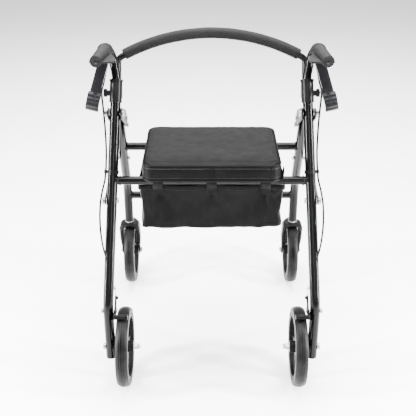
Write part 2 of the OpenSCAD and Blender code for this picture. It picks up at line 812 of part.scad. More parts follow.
// Three-lobed height knob on a threaded stem
module height_knob() {
    x0 = knob_at[0] + collar_r + 4 + GAP;
    pin_x(knob_at, knob_at[0] + handle_r + 0.5, x0, 3.5);
    translate([x0, knob_at[1], knob_at[2]]) rotate([0, 90, 0]) {
        cylinder(r=7, h=10);
        for (k = [0:2]) rotate([0, 0, 120 * k + 60]) translate([6, 0, 1]) cylinder(r=5, h=8);
    }
}
module height_knob_left() { color("#101010") mirror([1, 0, 0]) height_knob(); }
module height_knob_right() { color("#101010") height_knob(); }

// ---------- rear brakes ----------

module brake_arm() {
    p = at(0, 0, brake_z);
    anchor = p + [0, brake_anchor[0], brake_anchor[1]];
    shoe = p + [0, -shoe_back, shoe_up];
    difference() {
        union() {
            plate_x(p, brake_x, brake_t, [[0, 0, 9], [brake_anchor[0], brake_anchor[1], 6]]);
            plate_x(p, brake_x, brake_t, [[0, 0, 9], [-shoe_back, shoe_up, 7]]);
            pin_x(anchor, brake_x - 4, brake_x + 1, 4);
            pin_x(shoe, brake_x + 1, rear_track_half - tyre_w / 2 + 1, shoe_r);
        }
        pin_x(p, 200, 290, brake_bolt_r + FIT);
    }
}
module brake_arm_left() { color("#1c1c1c") mirror([1, 0, 0]) brake_arm(); }
module brake_arm_right() { color("#1c1c1c") brake_arm(); }

// Cable in its casing, and the bare wire from its end to the brake arm
module brake_cable() {
    cord(CABLE, 2, cable_r, 10);
    cord(WIRE, 2, wire_r, 8);
}
module brake_cable_left() { color("#0d0d0d") mirror([1, 0, 0]) brake_cable(); }
module brake_cable_right() { color("#0d0d0d") brake_cable(); }

// ---------- seat ----------

seat_mid = at(0, seat_back + seat_l / 2, 0);

module seat_board() {
    color("#101010") translate(seat_mid + [0, 0, board_z]) rounded_block(seat_w - 6, seat_l - 6, board_t, corner_r - 3);
}

module seat_cushion() {
    color("#2b2b2d") translate(seat_mid + [0, 0, board_z + board_t]) rounded_block(seat_w, seat_l, cushion_t, corner_r);
}

// Hinge straps round the front bar and open clips over the rear bar
module seat_fittings() {
    under = board_z - bar_z;
    color("#181818") for (s = [-1, 1]) translate([s * fitting_x - fitting_w / 2, 0, bar_z]) {
        difference() {
            union() {
                translate([0, front_bar[1], 0]) rotate([0, 90, 0]) cylinder(r=under, h=fitting_w);
                translate([0, front_bar[1] - 60, under - 3]) cube([fitting_w, 60, 3]);
            }
            translate([-1, front_bar[1], 0]) rotate([0, 90, 0]) cylinder(r=bar_r + FIT, h=fitting_w + 2);
        }
        difference() {
            union() {
                translate([0, rear_bar[1], 0]) rotate([0, 90, 0]) cylinder(r=under, h=fitting_w);
                translate([0, rear_bar[1], under - 3]) cube([fitting_w, 50, 3]);
            }
            translate([-1, rear_bar[1], 0]) rotate([0, 90, 0]) cylinder(r=bar_r + 0.6, h=fitting_w + 2);
            translate([-1, rear_bar[1] - 20, -20]) cube([fitting_w + 2, 40, 20]);
            // no lip in front of the bar, which the clip leaves rearward when the frame folds
            translate([-1, rear_bar[1], -20]) cube([fitting_w + 2, 20, 20 + under - 3]);
        }
    }
}

// ---------- bag ----------

module storage_bag() {
    mid = at(0, bag_back + bag_l / 2, bag_z);
    color("#1a1a1c") translate(mid) difference() {
        rounded_block(bag_w, bag_l, bag_top - bag_z, 20);
        translate([0, 0, bag_wall])
            rounded_block(bag_w - 2 * bag_wall, bag_l - 2 * bag_wall, bag_top - bag_z, 20 - bag_wall);
    }
}

// Fabric loops round the two bars under the seat
module bag_loops() {
    color("#161618") for (x = [-loop_x, 0, loop_x]) {
        for (bar = [[rear_bar[1], 1], [front_bar[1], -1]])
            translate([x - loop_w / 2, bar[0], bar_z]) difference() {
                union() {
                    rotate([0, 90, 0]) cylinder(r=bar_r + 1.6, h=loop_w);
                    translate([0, bar[1] > 0 ? -6 : 0, bag_top + 0.1 - bar_z]) cube([loop_w, 6, 8]);
                }
                translate([-1, 0, 0]) rotate([0, 90, 0]) cylinder(r=bar_r + 0.1, h=loop_w + 2);
            }
    }
}

// ---------- backrest ----------

module backrest_tube() {
    mirrored = [-1, 1, 1];
    left_foot = [for (i = [0:2]) backrest_foot[i] * mirrored[i]];
    left_corner = [for (i = [0:2]) arch_foot[i] * mirrored[i]];
    color("#141414") bent_tube(
        [backrest_foot, arch_foot, arch_peak, left_corner, left_foot],
        [0, foot_bend_r, arch_r - 4, foot_bend_r, 0], backrest_r
    );
}

module backrest_foam() {
    a = arch_foot;
    c = [-arch_foot[0], arch_foot[1], arch_foot[2]];
    part = [0.01, 0.99];
    color("#232323") difference() {
        elbow(a, arch_peak, c, arch_r - 4, foam_d / 2, part);
        elbow(a, arch_peak, c, arch_r - 4, backrest_r + 0.03, [0, 1]);
    }
}

rear_leg_left();
rear_leg_right();
rear_crossbar();
rear_leg_plugs();
height_collars();
cable_clips();
rear_frame_bolts();
rear_axles();
front_leg_left();
front_leg_right();
front_crossbars();
pivot_brackets();
front_frame_bolts();
front_leg_plugs();
caster_bushings();
rear_link_left();
rear_link_right();
front_link_left();
front_link_right();
rear_tyre_left();
rear_tyre_right();
rear_rim_left();
rear_rim_right();
rear_bearings_left();
rear_bearings_right();
front_tyre_left();
front_tyre_right();
front_rim_left();
front_rim_right();
front_bearings_left();
front_bearings_right();
caster_fork_left();
caster_fork_right();
caster_stem_left();
caster_stem_right();
front_axle_left();
front_axle_right();
handle_tube_left();
handle_tube_right();
grip_left();
grip_right();
brake_housing_left();
brake_housing_right();
brake_lever_left();
brake_lever_right();
height_knob_left();
height_knob_right();
brake_arm_left();
brake_arm_right();
brake_cable_left();
brake_cable_right();
seat_board();
seat_cushion();
seat_fittings();
storage_bag();
bag_loops();
backrest_tube();
backrest_foam();
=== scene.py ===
"""Looks of the folding rollator walker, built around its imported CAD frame. Metres."""

import json
import math

import bmesh
import bpy
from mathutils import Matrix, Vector, noise
from mathutils.bvhtree import BVHTree


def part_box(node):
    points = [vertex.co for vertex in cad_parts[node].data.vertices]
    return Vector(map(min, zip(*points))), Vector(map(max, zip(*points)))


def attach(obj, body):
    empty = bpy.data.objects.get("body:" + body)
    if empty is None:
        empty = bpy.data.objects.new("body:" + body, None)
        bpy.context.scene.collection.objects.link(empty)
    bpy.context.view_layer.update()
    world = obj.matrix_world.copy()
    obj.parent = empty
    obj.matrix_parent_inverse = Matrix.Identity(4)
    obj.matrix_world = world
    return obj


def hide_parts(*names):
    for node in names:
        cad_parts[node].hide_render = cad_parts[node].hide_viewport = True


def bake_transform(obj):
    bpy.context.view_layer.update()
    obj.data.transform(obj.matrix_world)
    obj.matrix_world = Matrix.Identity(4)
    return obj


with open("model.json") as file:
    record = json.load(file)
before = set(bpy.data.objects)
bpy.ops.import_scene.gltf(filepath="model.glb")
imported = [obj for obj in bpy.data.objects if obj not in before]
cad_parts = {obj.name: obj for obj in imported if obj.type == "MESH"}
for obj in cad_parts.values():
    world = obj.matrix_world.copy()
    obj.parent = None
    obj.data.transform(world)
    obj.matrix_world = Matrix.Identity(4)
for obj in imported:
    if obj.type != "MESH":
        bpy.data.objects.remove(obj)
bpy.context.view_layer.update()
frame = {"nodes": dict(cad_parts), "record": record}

MM = 0.001
BAR_R = 0.0107  # crossbars
LEG_R_MM = 12.7
SIDES = ("left", "right")
SIGN = {"left": -1, "right": 1}


# ---------- camera, floor and light ----------

def make_camera():
    """Looks along +Y and down, from behind the walker."""
    pitch_down = 26.0
    focal = 771.0  # focal length in widths of a 416 wide frame
    data = bpy.data.cameras.new("camera")
    data.sensor_width = 36.0
    data.lens = focal / 416.0 * data.sensor_width
    cam = bpy.data.objects.new("camera", data)
    cam.location = (-0.009, -1.865, 1.279)
    cam.rotation_euler = (math.radians(90.0 - pitch_down), 0.0, 0.0)
    bpy.context.collection.objects.link(cam)
    bpy.context.scene.camera = cam


def area_light(name, place, aim, size, power):
    data = bpy.data.lights.new(name, "AREA")
    data.shape = "RECTANGLE"
    data.size, data.size_y = size
    data.energy = power
    lamp = bpy.data.objects.new(name, data)
    lamp.location = place
    lamp.visible_camera = False
    lamp.rotation_euler = (Vector(aim) - Vector(place)).to_track_quat("-Z", "Y").to_euler()
    bpy.context.collection.objects.link(lamp)


def make_studio():
    world = bpy.data.worlds.new("studio")
    world.use_nodes = True
    back = world.node_tree.nodes["Background"]
    back.inputs["Color"].default_value = (1.0, 1.0, 1.0, 1.0)
    back.inputs["Strength"].default_value = 1.0
    bpy.context.scene.world = world
    middle = (0.0, 0.0, 0.45)
    area_light("top_softbox", (0.0, 0.2, 2.6), (0.0, 0.0, 0.0), (2.6, 2.6), 520.0)
    area_light("left_strip", (-1.8, -0.7, 1.0), middle, (0.08, 1.9), 300.0)
    area_light("right_strip", (1.8, -0.7, 1.0), middle, (0.08, 1.9), 300.0)
    area_light("rear_strip", (0.25, -2.5, 1.5), middle, (0.08, 1.3), 25.0)
    area_light("far_softbox", (0.0, 2.8, 1.9), middle, (2.6, 1.0), 42.0)
    mesh = bpy.data.meshes.new("floor")
    half = 16.0  # half the floor's side
    corners = [(-half, -half, 0), (half, -half, 0), (half, half, 0), (-half, half, 0)]
    mesh.from_pydata(corners, [], [(0, 1, 2, 3)])
    floor = bpy.data.objects.new("floor", mesh)
    bpy.context.collection.objects.link(floor)
    floor.data.materials.append(floor_material())


# ---------- material helpers ----------

class Shader:
    """A principled material and short calls that add nodes to it."""

    def __init__(self, name, color, roughness, metallic=0.0, **fixed):
        self.mat = bpy.data.materials.new(name)
        self.mat.use_nodes = True
        self.tree = self.mat.node_tree
        self.bsdf = self.tree.nodes["Principled BSDF"]
        self.bsdf.inputs["Base Color"].default_value = (*color, 1.0)
        self.bsdf.inputs["Roughness"].default_value = roughness
        self.bsdf.inputs["Metallic"].default_value = metallic
        for key, value in fixed.items():
            self.bsdf.inputs[key.replace("_", " ")].default_value = value
        self.coords = self.node("ShaderNodeTexCoord").outputs["Object"]
        self.height = None

    def node(self, kind, **values):
        made = self.tree.nodes.new(kind)
        for key, value in values.items():
            if key in made.inputs:
                made.inputs[key].default_value = value
            else:
                setattr(made, key, value)
        return made

    def link(self, a, b):
        self.tree.links.new(a, b)

    def scaled(self, scale):
        """Object coordinates stretched by a scale for each axis."""
        mapping = self.node("ShaderNodeMapping")
        mapping.inputs["Scale"].default_value = scale
        self.link(self.coords, mapping.inputs["Vector"])
        return mapping.outputs["Vector"]

    def noise(self, scale, detail=3.0, stretch=(1, 1, 1)):
        made = self.node("ShaderNodeTexNoise", Scale=scale, Detail=detail)
        self.link(self.scaled(stretch), made.inputs["Vector"])
        return made.outputs["Fac"]

    def cells(self, scale, stretch=(1, 1, 1), feature="F1"):
        made = self.node("ShaderNodeTexVoronoi", Scale=scale, feature=feature)
        self.link(self.scaled(stretch), made.inputs["Vector"])
        return made.outputs["Distance"]

    def bands(self, scale, axis):
        made = self.node("ShaderNodeTexWave", Scale=scale, bands_direction=axis)
        self.link(self.coords, made.inputs["Vector"])
        return made.outputs["Fac"]

    def math(self, operation, a, b):
        made = self.node("ShaderNodeMath", operation=operation)
        for socket, value in zip(made.inputs, (a, b)):
            if isinstance(value, (int, float)):
                socket.default_value = value
            else:
                self.link(value, socket)
        return made.outputs["Value"]

    def ramp(self, fac, lo, hi, color_lo, color_hi):
        made = self.node("ShaderNodeValToRGB")
        first, second = made.color_ramp.elements
        first.position, second.position = lo, hi
        first.color = (*color_lo, 1.0)
        second.color = (*color_hi, 1.0)
        self.link(fac, made.inputs["Fac"])
        return made.outputs["Color"]

    def color_from(self, fac, lo, hi, color_lo, color_hi):
        self.link(self.ramp(fac, lo, hi, color_lo, color_hi), self.bsdf.inputs["Base Color"])

    def roughness_from(self, fac, lo, hi):
        made = self.node("ShaderNodeMapRange")
        made.inputs["To Min"].default_value = lo
        made.inputs["To Max"].default_value = hi
        self.link(fac, made.inputs["Value"])
        self.link(made.outputs["Result"], self.bsdf.inputs["Roughness"])

    def bump(self, fac, strength, distance):
        """Adds a layer of bump on top of those made before."""
        made = self.node("ShaderNodeBump", Strength=strength, Distance=distance)
        self.link(fac, made.inputs["Height"])
        if self.height:
            self.link(self.height, made.inputs["Normal"])
        self.height = made.outputs["Normal"]
        self.link(self.height, self.bsdf.inputs["Normal"])


def floor_material():
    s = Shader("floor_paper", (0.93, 0.93, 0.93), 0.75)
    s.color_from(s.noise(3.0), 0.3, 0.7, (0.925, 0.925, 0.925), (0.94, 0.94, 0.94))
    return s.mat


def enamel(name="black_enamel", color=(0.0010, 0.0010, 0.0011), rough=(0.10, 0.20)):
    """Glossy black paint on steel tube, with a faint orange peel and light scuffs."""
    s = Shader(name, color, rough[0], Specular_IOR_Level=0.11)
    cloud = s.noise(26.0, 4.0)
    lighter = tuple(c * 2.1 for c in color)
    s.color_from(cloud, 0.35, 0.8, color, lighter)
    s.roughness_from(s.noise(60.0, 5.0, (1, 1, 0.25)), *rough)
    s.bump(s.noise(420.0, 2.0), 0.08, 0.0004)
    return s.mat


def painted_bracket():
    """Satin black pressed steel, a little worn on its edges."""
    s = Shader("bracket_paint", (0.004, 0.004, 0.0043), 0.36, Specular_IOR_Level=0.07)
    geo = s.node("ShaderNodeNewGeometry")
    worn = s.math("MULTIPLY", geo.outputs["Pointiness"], s.noise(90.0, 5.0))
    s.color_from(worn, 0.30, 0.42, (0.0012, 0.0012, 0.0013), (0.010, 0.010, 0.010))
    s.roughness_from(s.noise(45.0, 4.0), 0.28, 0.46)
    s.bump(s.noise(500.0, 2.0), 0.12, 0.0004)
    return s.mat


def bright_steel(name, color, rough):
    """Plated steel with fine turned marks and a few dull spots."""
    s = Shader(name, color, rough, metallic=1.0)
    spots = s.noise(120.0, 5.0)
    s.color_from(spots, 0.3, 0.75, tuple(c * 0.72 for c in color), color)
    s.roughness_from(s.noise(240.0, 3.0, (8, 1, 1)), rough * 0.7, rough * 1.5)
    s.bump(s.noise(700.0, 2.0, (6, 1, 1)), 0.06, 0.0003)
    return s.mat


def moulded_plastic(name, color, rough, grain=520.0):
    """Injection-moulded plastic with a fine spark-eroded grain."""
    s = Shader(name, color, rough, Specular_IOR_Level=0.07)
    s.color_from(s.noise(34.0, 3.0), 0.35, 0.75, color, tuple(c * 1.5 for c in color))
    s.roughness_from(s.noise(70.0, 4.0), rough * 0.85, rough * 1.2)
    s.bump(s.cells(grain), 0.16, 0.0004)
    return s.mat


def grip_rubber():
    """Soft grey thermoplastic rubber, matt with a dusty sheen."""
    s = Shader("grip_rubber", (0.016, 0.0157, 0.0164), 0.5, Specular_IOR_Level=0.07)
    s.color_from(s.noise(55.0, 5.0), 0.3, 0.8, (0.0036, 0.0035, 0.0037), (0.0085, 0.0083, 0.0086))
    s.roughness_from(s.noise(110.0, 3.0), 0.45, 0.66)
    s.bump(s.cells(900.0), 0.3, 0.0004)
    return s.mat


def tyre_rubber():
    """Dark grey solid tyre with mould lines round it and dust in the grain."""
    s = Shader("tyre_rubber", (0.006, 0.006, 0.0063), 0.5, Specular_IOR_Level=0.09)
    s.color_from(s.noise(40.0, 6.0), 0.35, 0.8, (0.0010, 0.0010, 0.0011), (0.0095, 0.0093, 0.0090))
    s.roughness_from(s.noise(34.0, 5.0), 0.26, 0.62)
    s.bump(s.noise(650.0, 3.0), 0.25, 0.0004)
    return s.mat


def foam_rubber():
    """Closed-cell foam sleeve: matt, finely pitted, with faint smears."""
    s = Shader("foam_rubber", (0.010, 0.0096, 0.010), 0.6, Specular_IOR_Level=0.08)
    smears = s.noise(22.0, 5.0, (0.4, 1, 1))
    s.color_from(smears, 0.3, 0.8, (0.0034, 0.0032, 0.0034), (0.0066, 0.0063, 0.0064))
    s.roughness_from(s.noise(60.0, 3.0), 0.50, 0.68)
    s.bump(s.cells(1100.0), 0.45, 0.0005)
    s.bump(s.noise(90.0, 4.0), 0.2, 0.0008)
    return s.mat


def seat_leather():
    """Black coated fabric with a pebbled leather grain and soft creases."""
    s = Shader("seat_leather", (0.0020, 0.0020, 0.0022), 0.42, Specular_IOR_Level=0.036)
    s.color_from(s.noise(14.0, 5.0), 0.3, 0.8, (0.0009, 0.0009, 0.0010), (0.0024, 0.0023, 0.0025))
    s.roughness_from(s.noise(38.0, 4.0), 0.34, 0.52)
    s.bump(s.cells(420.0), 0.34, 0.0006)
    s.bump(s.noise(55.0, 5.0, (1, 0.6, 1)), 0.28, 0.0014)
    s.bump(s.cells(26.0, (1, 0.5, 1), "DISTANCE_TO_EDGE"), 0.10, 0.0012)
    return s.mat


def nylon(name, color, weave=1300.0, sheen=0.008):
    """Woven nylon: crossing threads, uneven dye and a slight sheen."""
    s = Shader(name, color, 0.45, Specular_IOR_Level=0.06, Sheen_Weight=sheen, Sheen_Roughness=0.35)
    s.color_from(s.noise(12.0, 5.0), 0.3, 0.8, color, tuple(c * 1.9 for c in color))
    s.roughness_from(s.noise(60.0, 4.0), 0.48, 0.7)
    across = s.math("MAXIMUM", s.bands(weave / 6.283, "X"), s.bands(weave / 6.283, "Y"))
    s.bump(s.math("ADD", across, s.bands(weave / 6.283, "Z")), 0.35, 0.0004)
    s.bump(s.noise(34.0, 5.0), 0.35, 0.0022)
    return s.mat


def thread(name, color):
    """Twisted polyester sewing thread."""
    s = Shader(name, color, 0.5, Specular_IOR_Level=0.15)
    s.color_from(s.noise(300.0, 2.0), 0.3, 0.7, color, tuple(c * 2.0 for c in color))
    s.bump(s.noise(1500.0, 2.0), 0.4, 0.0003)
    return s.mat


MATS = {
    "tube_black": enamel(),
    "bracket_steel": painted_bracket(),
    "bolt_steel": bright_steel("bolt_steel", (0.34, 0.34, 0.345), 0.24),
    "bright_chrome": bright_steel("bright_chrome", (0.50, 0.50, 0.51), 0.12),
    "black_plastic": moulded_plastic("black_plastic", (0.0028, 0.0028, 0.003), 0.30),
    "lever_plastic": moulded_plastic("lever_plastic", (0.0045, 0.0045, 0.005), 0.24, 380.0),
    "bush_plastic": moulded_plastic("bush_plastic", (0.30, 0.30, 0.28), 0.5),
    "grip_rubber": grip_rubber(),
    "cable_casing": moulded_plastic("cable_casing", (0.0025, 0.0025, 0.0026), 0.36, 900.0),
    "tyre_rubber": tyre_rubber(),
    "rim_plastic": moulded_plastic("rim_plastic", (0.0032, 0.0032, 0.0035), 0.34),
    "seat_leather": seat_leather(),
    "seat_panel": moulded_plastic("seat_panel", (0.003, 0.003, 0.003), 0.5),
    "bag_fabric": nylon("bag_fabric", (0.0007, 0.0007, 0.0008), sheen=0.005),
    "foam_rubber": foam_rubber(),
}
THREAD = thread("thread", (0.004, 0.004, 0.0044))
SIDE_THREAD = thread("side_thread", (0.016, 0.016, 0.017))
# painted highlight: the lip's light grey stands in for the bright line of light along the rim's edge
RIM_EDGE_HIGHLIGHT = moulded_plastic("rim_lip_painted_highlight", (0.030, 0.030, 0.032), 0.35)
WEBBING = nylon("webbing", (0.0009, 0.0009, 0.0010), 2200.0, 0.006)


def paint_cad_nodes():
    slot_of = {p["node"]: p["material_slot"] for p in frame["record"]["subparts"]}
    for name, obj in frame["nodes"].items():
        for holder in obj.material_slots:
            holder.material = MATS[slot_of[name]]


# ---------- mesh helpers ----------

def add_mesh(name, verts, faces, mat, body, slot, smooth=True):
    mesh = bpy.data.meshes.new(name)
    mesh.from_pydata([tuple(v) for v in verts], [], faces)
    mesh.validate()
    mesh.update()
    obj = bpy.data.objects.new(name, mesh)
    bpy.context.collection.objects.link(obj)
    mesh.materials.append(mat)
    if smooth:
        mesh.shade_smooth()
    if body:
        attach(obj, body)
    return obj


def ring_frames(path, closed):
    """For each point of the path: the point and two directions square to it."""
    count = len(path)
    frames = []
    side = None
    for i, p in enumerate(path):
        a = path[(i - 1) % count] if closed else path[max(i - 1, 0)]
        b = path[(i + 1) % count] if closed else path[min(i + 1, count - 1)]
        t = (b - a).normalized()
        if side is None:
            start = Vector((0, 0, 1)) if abs(t.z) < 0.8 else Vector((1, 0, 0))
            side = (start - t * start.dot(t)).normalized()
        else:
            side = (side - t * side.dot(t)).normalized()
        frames.append((p, side, t.cross(side)))
    return frames


def sweep(path, section, closed=False):
    """Verts and faces of a section [(across, up)] swept along the path."""
    frames = ring_frames(path, closed)
    k = len(section)
    verts, faces = [], []
    for p, u, w in frames:
        verts += [p + w * x + u * y for x, y in section]
    rows = len(frames)
    for i in range(rows if closed else rows - 1):
        j = (i + 1) % rows
        for c in range(k):
            d = (c + 1) % k
            faces.append((i * k + c, i * k + d, j * k + d, j * k + c))
    if not closed:
        faces.append(tuple(reversed(range(k))))
        faces.append(tuple((rows - 1) * k + c for c in range(k)))
    return verts, faces


def circle_section(r, sides=12):
    angles = [2 * math.pi * c / sides for c in range(sides)]
    return [(r * math.cos(a), r * math.sin(a)) for a in angles]


def flat_section(width, thick):
    """A strap's section with rounded edges."""
    w, t = width / 2, thick / 2
    return [(-w, -t * 0.4), (-w + t, -t), (w - t, -t), (w, -t * 0.4),
            (w, t * 0.4), (w - t, t), (-w + t, t), (-w, t * 0.4)]


def join_parts(parts):
    """One list of verts and faces from several."""
    verts, faces = [], []
    for v, f in parts:
        start = len(verts)
        verts += v
        faces += [tuple(start + i for i in face) for face in f]
    return verts, faces


def smooth_path(points, steps):
    """A smooth curve through the points."""
    pts = [Vector(p) for p in points]
    last = len(pts) - 1
    out = []
    for i in range(last):
        a, b, c, d = pts[max(i - 1, 0)], pts[i], pts[i + 1], pts[min(i + 2, last)]
        for k in range(steps):
            t = k / steps
            out.append(0.5 * (2 * b + (c - a) * t + (2 * a - 5 * b + 4 * c - d) * t * t
                              + (3 * b - a - 3 * c + d) * t ** 3))
    out.append(pts[last])
    return out


def rounded_outline(w, l, r, centre, step):
    """Points round a rectangle with round corners, evenly spaced, counter-clockwise."""
    arcs = []
    for sx, sy, a0 in ((1, -1, -90), (1, 1, 0), (-1, 1, 90), (-1, -1, 180)):
        cx, cy = sx * (w / 2 - r), sy * (l / 2 - r)
        for k in range(13):
            a = math.radians(a0 + 90 * k / 12)
            arcs.append(Vector((cx + r * math.cos(a), cy + r * math.sin(a), 0)))
    arcs.append(arcs[0])
    lengths = [0.0]
    for p, q in zip(arcs, arcs[1:]):
        lengths.append(lengths[-1] + (q - p).length)
    count = max(int(lengths[-1] / step), 8)
    out, at = [], 0
    for i in range(count):
        want = lengths[-1] * i / count
        while lengths[at + 1] < want:
            at += 1
        span = lengths[at + 1] - lengths[at] or 1.0
        out.append(arcs[at].lerp(arcs[at + 1], (want - lengths[at]) / span) + Vector(centre))
    return out


def stitches(points, normals, length, radius):
    """Short thread capsules lying on a surface, one between each pair of points."""
    parts = []
    for i in range(len(points) - 1):
        a, b, n = points[i], points[i + 1], normals[i]
        mid = (a + b) / 2
        run = (b - a).normalized() * length / 2
        path = [mid - run - n * radius * 0.6, mid - run * 0.5 + n * radius * 0.5,
                mid + run * 0.5 + n * radius * 0.5, mid + run - n * radius * 0.6]
        parts.append(sweep(path, circle_section(radius, 6)))
    return join_parts(parts)


def wobble(p, scale, amount, seed):
    """A small smooth offset at the point, from noise."""
    q = Vector(p) * scale + Vector((seed, seed * 2.3, seed * 0.7))
    return noise.noise(q) * amount


# ---------- seat cushion ----------

def box_of(node):
    lo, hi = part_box(node)
    return Vector(lo), Vector(hi)


def make_cushion():
    """Foam under a stitched cover: swollen by cloth simulation, piped round its top edge."""
    lo, hi = box_of("seat_cushion")
    lo.z = box_of("seat_board")[0].z
    w, l, h = hi - lo
    centre = ((lo.x + hi.x) / 2, (lo.y + hi.y) / 2, 0)
    inset = 1 * MM
    round_r = 4.5  # of the top edge
    high = h / MM
    # height and how far the side is set in, in mm
    layers = [(0.0, 3.0), (3.0, 0.0), (high * 0.5, -0.6), (high - round_r, 0.0)]
    for a in (30, 60, 90):
        turn = math.radians(a)
        layers.append((high - round_r + round_r * math.sin(turn), round_r * (1 - math.cos(turn))))
    verts, faces, rows = [], [], []
    for z, shrink in layers:
        s = (shrink * MM + inset) * 2
        ring = rounded_outline(w - s, l - s, 25 * MM - shrink * MM, centre, 6 * MM)
        rows.append(ring)
    count = min(len(r) for r in rows)
    for ring, (z, _) in zip(rows, layers):
        for i in range(count):
            p = ring[int(i * len(ring) / count)]
            verts.append(Vector((p.x, p.y, lo.z + z * MM)))
    for j in range(len(layers) - 1):
        for i in range(count):
            n = (i + 1) % count
            faces.append((j * count + i, j * count + n, (j + 1) * count + n, (j + 1) * count + i))
    faces.append(tuple(reversed(range(count))))
    faces.append(tuple((len(layers) - 1) * count + i for i in range(count)))
    cushion = add_mesh("seat_cushion_cover", verts, faces, MATS["seat_leather"], "seat", "seat_leather")
    bpy.context.view_layer.objects.active = cushion
    remesh = cushion.modifiers.new("remesh", "REMESH")
    remesh.mode = "VOXEL"
    remesh.voxel_size = 5 * MM
    bake_modifiers(cushion)
    rest = [v.co.copy() for v in cushion.data.vertices]
    swell(cushion, rest, 2.5 * MM)
    for v, r in zip(cushion.data.vertices, rest):
        across = abs(r.x - centre[0]) / (w / 2)
        along = abs(r.y - centre[1]) / (l / 2)
        if r.z - lo.z < 5 * MM:
            v.co.z = max(lo.z + 0.1 * MM, min(v.co.z, r.z))
            v.co.x, v.co.y = r.x, r.y
        elif r.z > hi.z - 12 * MM:
            crown = 6 * MM * (1 - min(across, 1.0) ** 4) * (1 - min(along, 1.0) ** 4)
            v.co.z = max(v.co.z, r.z) + crown * 0.7
            v.co.z += wobble(r, 24, 1.1 * MM, 3.0) + wobble(r, 60, 0.5 * MM, 9.0)
        side_wave = wobble(r, 38, 0.9 * MM, 5.0)
        if across > 0.93:
            v.co.x += math.copysign(side_wave, r.x)
        if along > 0.93:
            v.co.y += math.copysign(side_wave, r.y - centre[1])
        v.co.z = min(v.co.z, hi.z + 9 * MM)
    soften = cushion.modifiers.new("soften", "SMOOTH")
    soften.iterations = 3
    finer = cushion.modifiers.new("finer", "SUBSURF")
    finer.levels = finer.render_levels = 1
    bake_modifiers(cushion)
    cushion.data.shade_smooth()
    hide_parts("seat_cushion", "seat_board")
    trim_cushion(cushion, lo, hi, centre, w, l)


def bake_modifiers(obj):
    graph = bpy.context.evaluated_depsgraph_get()
    mesh = bpy.data.meshes.new_from_object(obj.evaluated_get(graph))
    mats = [m for m in obj.data.materials]
    obj.modifiers.clear()
    obj.data = mesh
    obj.data.materials.clear()
    for m in mats:
        obj.data.materials.append(m)


def swell(obj, rest, cap):
    """Blows the cover up a little with cloth pressure and keeps each point within cap of its start."""
    scene = bpy.context.scene
    cloth = obj.modifiers.new("cloth", "CLOTH")
    settings = cloth.settings
    settings.use_pressure = True
    settings.uniform_pressure_force = 4.0
    settings.effector_weights.gravity = 0.0
    settings.quality = 5
    settings.mass = 0.4
    settings.tension_stiffness = 20.0
    settings.compression_stiffness = 20.0
    settings.bending_stiffness = 2.0
    cloth.point_cache.frame_start = 1
    cloth.point_cache.frame_end = 20
    for f in range(1, 21):
        scene.frame_set(f)
    graph = bpy.context.evaluated_depsgraph_get()
    moved = [v.co.copy() for v in obj.evaluated_get(graph).data.vertices]
    obj.modifiers.clear()
    for v, r, m in zip(obj.data.vertices, rest, moved):
        step = m - r
        if step.length > cap:
            step *= cap / step.length
        v.co = r + step
    scene.frame_set(1)


def surface_of(obj):
    bm = bmesh.new()
    bm.from_mesh(obj.data)
    tree = BVHTree.FromBMesh(bm)
    bm.free()
    return tree


def trim_cushion(cushion, lo, hi, centre, w, l):
    """Piping round the top edge, a seam below it, a stitched line on the top and the back seam."""
    tree = surface_of(cushion)

    def on_side(p, z):
        outward = Vector((p.x - centre[0], p.y - centre[1], 0))
        corner = Vector((math.copysign(max(abs(outward.x) - (w / 2 - 0.05), 0.0), outward.x),
                         math.copysign(max(abs(outward.y) - (l / 2 - 0.05), 0.0), outward.y), 0))
        out = (corner if corner.length > 1e-6 else outward).normalized()
        start = Vector((p.x, p.y, z)) + out * 0.03
        hit, normal, _, _ = tree.ray_cast(start, -out, 0.09)
        return (hit, normal) if hit else (Vector((p.x, p.y, z)), out)

    ring = rounded_outline(w, l, 25 * MM, centre, 4 * MM)
    for name, z, r in (("top", hi.z - 3.5 * MM, 2.3 * MM), ("bottom", lo.z + 6 * MM, 1.5 * MM)):
        path = []
        for p in ring:
            hit, normal = on_side(p, z)
            path.append(hit + normal * r * 0.35)
        path = relax(path, 3)
        verts, faces = sweep(path, circle_section(r, 10), closed=True)
        add_mesh("seat_piping_" + name, verts, faces, MATS["seat_leather"], "seat", "seat_leather")
        below = []
        normals = []
        for p in rounded_outline(w, l, 25 * MM, centre, 5.2 * MM):
            hit, normal = on_side(p, z - math.copysign(6 * MM, 1 if name == "top" else -1))
            below.append(hit)
            normals.append(normal)
        verts, faces = stitches(below, normals, 3.6 * MM, 0.5 * MM)
        twine = SIDE_THREAD if name == "top" else THREAD
        add_mesh("seat_stitches_" + name, verts, faces, twine, "seat", "seat_leather")
    line, normals = [], []
    for p in rounded_outline(w - 24 * MM, l - 24 * MM, 15 * MM, centre, 5.2 * MM):
        hit, normal, _, _ = tree.ray_cast(Vector((p.x, p.y, hi.z + 0.05)), Vector((0, 0, -1)), 0.09)
        line.append(hit or Vector((p.x, p.y, hi.z)))
        normals.append(normal or Vector((0, 0, 1)))
    verts, faces = stitches(line, normals, 3.6 * MM, 0.5 * MM)
    add_mesh("seat_stitches_edge", verts, faces, THREAD, "seat", "seat_leather")
    seam = []
    for k in range(12):
        z = lo.z + 6 * MM + (hi.z - lo.z - 14 * MM) * k / 11
        hit, normal, _, _ = tree.ray_cast(Vector((centre[0], lo.y - 0.04, z)), Vector((0, 1, 0)), 0.09)
        seam.append((hit or Vector((centre[0], lo.y, z))) + Vector((0, -0.2 * MM, 0)))
    verts, faces = sweep(seam, flat_section(5 * MM, 1.6 * MM))
    add_mesh("seat_back_seam", verts, faces, MATS["seat_leather"], "seat", "seat_leather")


def relax(path, rounds):
    for _ in range(rounds):
        n = len(path)
        path = [(path[(i - 1) % n] + path[i] * 2 + path[(i + 1) % n]) / 4 for i in range(n)]
    return path


